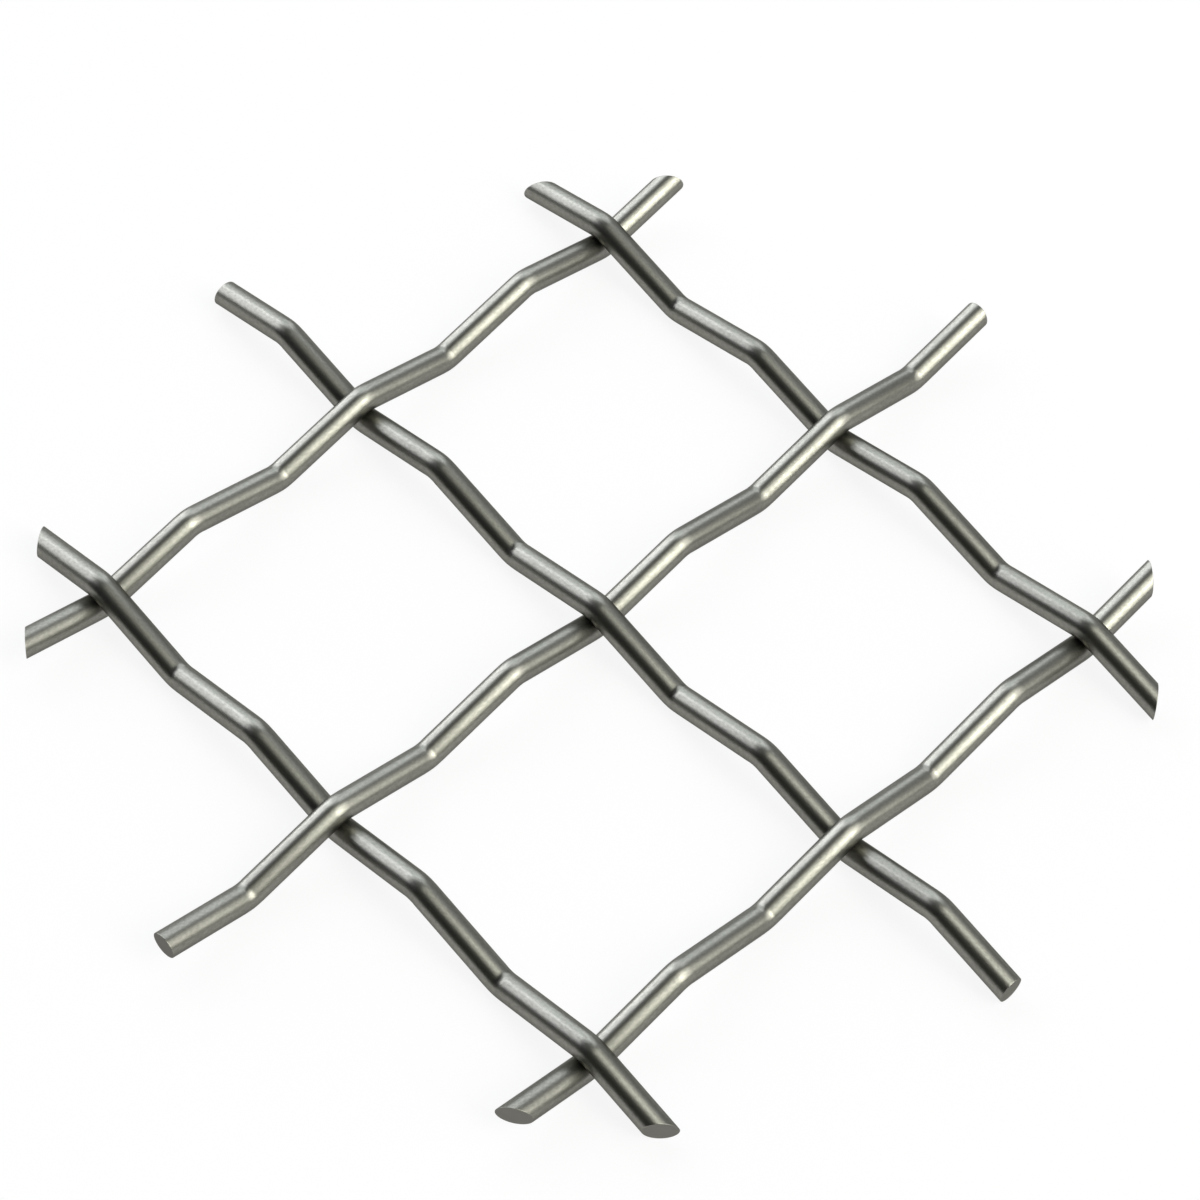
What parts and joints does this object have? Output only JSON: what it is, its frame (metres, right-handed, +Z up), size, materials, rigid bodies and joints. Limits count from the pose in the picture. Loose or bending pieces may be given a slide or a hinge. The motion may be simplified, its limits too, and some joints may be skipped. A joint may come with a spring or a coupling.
{
  "type": "decorative grille sheet",
  "caption": "Round-cut sample of woven wire grille sheet: round wires cross at right angles, over and under, locked by crimps at and between the crossings, with square openings.",
  "frame": {"origin": "on the surface that the sheet lies on, under the middle crossing", "axes": "+X along the warp wires, +Y along the weft wires, +Z up through the sheet"},
  "size_m": [0.1346, 0.1346, 0.0069],
  "materials": {
    "steel_wire": "bright satin drawn wire with faint lengthwise draw lines"
  },
  "bodies": {
    "root": {"warp_wire_1": "steel_wire", "warp_wire_2": "steel_wire", "warp_wire_3": "steel_wire", "weft_wire_1": "steel_wire", "weft_wire_2": "steel_wire", "weft_wire_3": "steel_wire"}
  },
  "joints": []
}
